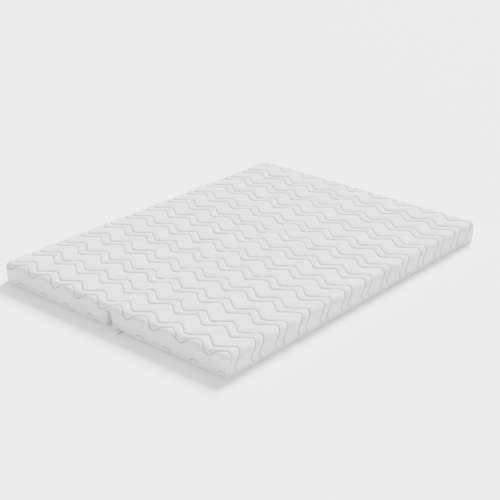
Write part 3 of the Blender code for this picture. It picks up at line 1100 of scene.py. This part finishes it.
def teeth(name):
    """Two rows of small wedges that point at each other, half a pitch apart."""
    side = PANELS[name]
    low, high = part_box(f"{name}_zip_coil_lower")[0].z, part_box(f"{name}_zip_coil_upper")[1].z
    reach = (high - low) * 0.62
    parts = []
    for row, root, tip in ((0, high, high - reach), (1, low, low + reach)):
        place, outward = around(TOOTH_PITCH / 2, TEETH_INSET)
        place, outward = place[row::2], outward[row::2]
        ahead = np.stack([outward[:, 1], -outward[:, 0]], axis=1)
        corners = []
        for z, half in ((root, TOOTH_PITCH * 0.30), (tip, TOOTH_PITCH * 0.24)):
            for a, b in ((-1, -1), (1, -1), (1, 1), (-1, 1)):
                flat = place + ahead * half * a + outward * TOOTH_DEPTH * b
                x, y = flat[:, 0], side * flat[:, 1]
                corners.append(np.column_stack([x, y, np.full(len(flat), z)]))
        points = np.stack(corners, axis=1)
        faces = BOX_QUADS[None] + (8 * np.arange(len(place)))[:, None, None]
        parts.append((points.reshape(-1, 3), faces.reshape(-1, 4)))
    points, faces = joined(parts)
    piece = mesh_piece(f"{name}_zip_teeth", points, faces, NYLON)
    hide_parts(f"{name}_zip_coil_upper", f"{name}_zip_coil_lower")
    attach(piece, name)
    outward_faces(piece)
    print(f"{piece.name}: {len(faces) // 6} teeth")


def outward_faces(piece):
    """Turn every closed shell of a mesh so that its faces point outwards."""
    work = bmesh.new()
    work.from_mesh(piece.data)
    bmesh.ops.recalc_face_normals(work, faces=work.faces)
    work.to_mesh(piece.data)
    work.free()


# Nylon monofilament, extruded and heat-set: translucent white with a soft gloss.
NYLON = patterned(
    "heat_set_nylon_coil", "ShaderNodeTexNoise", {"Scale": 1 / 0.004, "Detail": 3.0}, "Fac",
    ("#E6E6E4", "#F2F2F0"), (0.2, 0.0001), 0.38,
)
# Zinc die casting under grey lacquer: smooth, half gloss, a little orange peel.
LACQUER = patterned(
    "grey_lacquered_zinc", "ShaderNodeTexNoise", {"Scale": 1 / 0.0012, "Detail": 3.0}, "Fac",
    ("#6E6E70", "#7C7C7E"), (0.2, 0.00005), 0.34, metallic=0.6,
)
for panel in PANELS:
    teeth(panel)

# %% [markdown]
# ## Slider and pull
#
# A slider is two small plates, broad where the rows come apart and narrow where they leave
# joined, with a loop on the outer one that holds the pull. The pull is a flat stamped tag: a
# ring round the pin, a narrow neck and a wider grip with a raised middle.

# %% Slider and pull of each zip
PLATE_SHARE = 0.42                           # of the slider's depth; the loop takes the rest
LOOP_WIRE = 0.0006
TAG_BEVEL = 0.00025
RIB_HEIGHT = 0.0003


def both_sides(x, half_width):
    """Closed outline: out along one side of the axis and back along the other."""
    return np.concatenate([
        np.stack([x, -half_width], 1), np.stack([x[::-1], half_width[::-1]], 1)
    ])


def narrowing(half_length, wide, narrow, count=10):
    """Closed outline: its half width goes from wide to narrow along its length."""
    x = np.linspace(-half_length, half_length, count)
    width = wide + (narrow - wide) * smoothstep((x + half_length) / (2 * half_length))
    width = width * np.sqrt(np.clip(1 - (np.abs(x) / (half_length * 1.04)) ** 6, 0.02, 1))
    return both_sides(x, width)


def slider(name):
    """Outer plate and loop, in the plane of the wall, over the slider's box in the frame."""
    side = PANELS[name]
    low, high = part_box(f"{name}_zip_slider")
    centre = (low + high) / 2
    half_y, half_z = (high.y - low.y) / 2, (high.z - low.z) / 2
    deep = high.x - low.x
    out = 1.0 if centre.x > 0 else -1.0
    wall = low.x if out > 0 else high.x
    outline = narrowing(half_y, half_z, half_z * 0.68)
    plate_deep = deep * PLATE_SHARE
    levels = np.array([0.0, 0.15, 0.8, 1.0]) * plate_deep
    plate, plate_faces = slab(outline, levels, [0.0003, 0, 0, 0.0005])
    bend = np.linspace(0, np.pi, 14)
    loop_high = deep - plate_deep
    arch = plate_deep + np.sin(bend) * (loop_high - LOOP_WIRE)
    path = np.stack([-np.cos(bend) * half_y * 0.62, np.zeros_like(bend), arch], axis=1)
    upward = np.tile([0.0, 1.0, 0.0], (len(bend), 1))
    loop, loop_faces = tube(path, upward, np.full(len(bend), LOOP_WIRE))
    local, faces = joined([(plate, plate_faces), (loop, loop_faces)])
    x = wall + out * local[:, 2]
    y = centre.y + side * local[:, 0]
    z = centre.z + local[:, 1]
    piece = mesh_piece(f"{name}_slider_body", np.stack([x, y, z], axis=1), faces, LACQUER)
    finish_metal(piece, f"{name}_zip_slider", f"{name}_slider")


PULL_THICK = 0.0012


def washer(outer, inner, half_high, sides=24):
    """A ring round an upright pin: four circles, joined one after the other into a loop."""
    turn = 2 * np.pi * np.arange(sides) / sides
    circles = ((outer, -half_high), (outer, half_high), (inner, half_high), (inner, -half_high))
    points = np.concatenate([
        np.column_stack([r * np.cos(turn), np.full(sides, high), r * np.sin(turn)])
        for r, high in circles
    ])
    index = np.arange(4 * sides).reshape(4, sides)
    beside, above = np.roll(index, -1, axis=1), np.roll(index, -1, axis=0)
    corner = np.roll(beside, -1, axis=0)
    first = np.stack([index, beside, corner], axis=-1).reshape(-1, 3)
    return points, np.concatenate([first, np.stack([index, corner, above], -1).reshape(-1, 3)])


def pull(name):
    """Stamped tag: ring, neck and grip with a raised rib, and a rolled eye round the pin."""
    low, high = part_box(f"{name}_zip_pull")
    centre = (low + high) / 2
    half_x, half_z = (high.x - low.x) / 2, (high.z - low.z) / 2
    out = 1.0 if centre.x > 0 else -1.0
    eye = (high.y - low.y) / 2
    x = np.linspace(-half_x, half_x, 40)
    d = (x + half_x) / (2 * half_x)
    ring = np.sqrt(np.clip(1 - ((d - 0.11) / 0.11) ** 2, 0, 1)) * 0.75
    neck = 0.34 * smoothstep(d / 0.12)
    round_tip = np.sqrt(np.clip(1 - ((d - 0.9) / 0.1) ** 2, 0, 1) ** (d > 0.9))
    grip = np.where(d > 0.2, 0.34 + 0.66 * smoothstep((d - 0.22) / 0.28), 0) * round_tip
    width = np.maximum(np.maximum(ring, neck * (d < 0.5)), grip) * half_z
    width = np.maximum(width, 0.0002)
    face, inner = PULL_THICK / 2, PULL_THICK / 2 - TAG_BEVEL
    tag = slab(both_sides(x, width), [-face, -inner, inner, face], [TAG_BEVEL, 0, 0, TAG_BEVEL])
    rib_x = np.linspace(-half_x * 0.1, half_x * 0.72, 14)
    rib_end = np.sqrt(np.clip(1 - (np.linspace(-1, 1, 14) / 1.02) ** 4, 0.03, 1))
    rib_line = both_sides(rib_x, half_z * 0.42 * rib_end)
    crown = face + RIB_HEIGHT
    rib = slab(rib_line, [-crown, -face, face, crown], [0.0004, 0, 0, 0.0004])
    ring_points, ring_faces = washer(eye, eye - 0.0009, half_z * 0.6)
    ring_points = ring_points + np.array([eye - half_x, 0.0, 0.0])
    local, faces = joined([tag, rib, (ring_points, ring_faces)])
    place = [centre.x + out * local[:, 0], centre.y + local[:, 2], centre.z + local[:, 1]]
    piece = mesh_piece(f"{name}_pull_tag", np.stack(place, axis=1), faces, LACQUER)
    finish_metal(piece, f"{name}_zip_pull", f"{name}_pull", rounded=False)


def finish_metal(piece, node, body, rounded=True):
    """Finish a small metal piece that stands for a node and rides on its body."""
    outward_faces(piece)
    if rounded:
        smooth = piece.modifiers.new("round", "BEVEL")
        smooth.width = 0.0001
        smooth.segments = 1
        smooth.limit_method = "ANGLE"
    else:
        piece.data.set_sharp_from_angle(angle=math.radians(30))
    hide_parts(node)
    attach(piece, body)


for panel in PANELS:
    slider(panel)
    pull(panel)

# %% [markdown]
# ## Finishes for the frame's own pieces
#
# The foam, the tapes and the small stops already have their real shape, so they only get
# their materials. The foam is an open-celled polyurethane, with its cells drawn at 3 mm. The
# tape is a narrow twill of polyester: fine ribs along it, crossed by the weft.

# %% Foam, tape and stops
def woven_tape():
    """Polyester twill tape: ribs up and down the tape from the height, 1.2 mm apart."""
    material, shader = new_material("woven_polyester_tape")
    place = add(material, "ShaderNodeTexCoord")
    warp = add(
        material, "ShaderNodeTexWave", {"bands_direction": "Z"}, values={"Scale": 260.0},
        links={"Vector": place.outputs["Object"]},
    )
    weft = add(
        material, "ShaderNodeTexVoronoi", values={"Scale": 800.0, "Randomness": 0.2},
        links={"Vector": place.outputs["Object"]},
    )
    height = add(
        material, "ShaderNodeMath", {"operation": "MULTIPLY"},
        links={0: warp.outputs["Fac"], 1: weft.outputs["Distance"]},
    )
    tone = add(
        material, "ShaderNodeMix", {"data_type": "RGBA"},
        values={"A": linear("#E0DFDD"), "B": linear("#F0EFED")},
        links={"Factor": height.outputs["Value"]},
    )
    bump = add(
        material, "ShaderNodeBump", values={"Strength": 0.4, "Distance": 0.0002},
        links={"Height": height.outputs["Value"]},
    )
    feed(material, tone.outputs["Result"], shader.inputs["Base Color"])
    feed(material, bump.outputs["Normal"], shader.inputs["Normal"])
    shader.inputs["Roughness"].default_value = 0.8
    return material


def wear(node, material):
    """Give a node of the frame one material for all its slots."""
    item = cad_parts[node]
    if not item.material_slots:
        item.data.materials.append(material)
    for place in item.material_slots:
        place.link = "OBJECT"
        place.material = material


# Cut polyurethane foam: cream, matt, with cells as small pits.
FOAM = patterned(
    "open_cell_polyurethane_foam", "ShaderNodeTexVoronoi", {"Scale": 330.0}, "Distance",
    ("#D9D2BC", "#EFE9D8"), (0.5, 0.0006), 0.95,
)
TAPE = woven_tape()
for panel in PANELS:
    wear(f"{panel}_foam_core", FOAM)
    for part in ("upper", "lower"):
        wear(f"{panel}_zip_tape_{part}", TAPE)
    for part in ("closed", "open"):
        wear(f"{panel}_zip_stop_{part}", LACQUER)

# %% [markdown]
# ## Floor, light and camera
#
# A pale floor, a soft sun from the right and behind, a very soft one from overhead that thins
# the shadows, and a faint white surrounding. Suns light the floor evenly, so that it stays
# pale all over. The camera looks down on the near corner from a few metres.

# %% Stage and camera
FLOOR_FLAT = 9.0
FLOOR_CURVE = 6.0
FLOOR_RISE = math.radians(62)


def plain_floor():
    """A pale floor: flat discs out to nine metres, then rings that rise along a circle."""
    angle = np.linspace(0, FLOOR_RISE, 24)
    radius = np.concatenate([[0.02, 1, 3, 6], FLOOR_FLAT + FLOOR_CURVE * np.sin(angle)])
    height = np.concatenate([np.zeros(4), FLOOR_CURVE * (1 - np.cos(angle))])
    turn = np.linspace(0, 2 * np.pi, 97)[:-1]
    x, y = radius[:, None] * np.cos(turn), radius[:, None] * np.sin(turn)
    z = np.repeat(height[:, None], len(turn), axis=1)
    points = np.stack([x, y, z], axis=-1).reshape(-1, 3)
    index = np.arange(len(points)).reshape(x.shape)
    after = np.roll(index, -1, axis=1)
    rings = np.stack([index[:-1], index[1:], after[1:], after[:-1]], axis=-1).reshape(-1, 4)
    floor = bpy.data.meshes.new("floor")
    floor.from_pydata(points.tolist(), [], [*rings.tolist(), index[0].tolist()])
    floor.shade_smooth()
    piece = bpy.data.objects.new("floor", floor)
    bpy.context.scene.collection.objects.link(piece)
    material, shader = new_material("pale_studio_floor")
    shader.inputs["Base Color"].default_value = linear("#FFFFFF")
    shader.inputs["Roughness"].default_value = 0.9
    piece.data.materials.append(material)


def soft_sun(name, direction, spread, strength):
    """A sun that shines from a direction, softened by its angle in degrees."""
    lamp = bpy.data.lights.new(name, "SUN")
    lamp.energy = strength
    lamp.angle = math.radians(spread)
    light = bpy.data.objects.new(name, lamp)
    light.rotation_euler = (-Vector(direction)).to_track_quat("-Z", "Y").to_euler()
    bpy.context.scene.collection.objects.link(light)


plain_floor()
soft_sun("key", (3.8, 1.2, 2.9), 20, 16.5)
soft_sun("overhead", (1.2, 0.5, 4.0), 70, 3.6)

world = bpy.data.worlds.new("white_surrounding")
world.use_nodes = True
world.node_tree.nodes["Background"].inputs["Color"].default_value = linear("#FFFFFF")
world.node_tree.nodes["Background"].inputs["Strength"].default_value = 0.15
bpy.context.scene.world = world

CAMERA_AZIMUTH = math.radians(-49.6)
CAMERA_ELEVATION = math.radians(23.75)
CAMERA_DISTANCE = 5.72
CAMERA_ROLL = math.radians(0.43)
CAMERA_LENS = 84
aim = Vector((0.0, 0.0, THICKNESS / 2))
back_from = Vector((
    math.sin(CAMERA_AZIMUTH) * math.cos(CAMERA_ELEVATION),
    -math.cos(CAMERA_AZIMUTH) * math.cos(CAMERA_ELEVATION),
    math.sin(CAMERA_ELEVATION),
))
lens = bpy.data.cameras.new("camera")
lens.lens = CAMERA_LENS
camera = bpy.data.objects.new("camera", lens)
camera.location = aim + back_from * CAMERA_DISTANCE
straight = (-back_from).to_track_quat("-Z", "Y")
camera.rotation_euler = (straight @ Quaternion((0, 0, 1), CAMERA_ROLL)).to_euler()
bpy.context.scene.collection.objects.link(camera)
bpy.context.scene.camera = camera
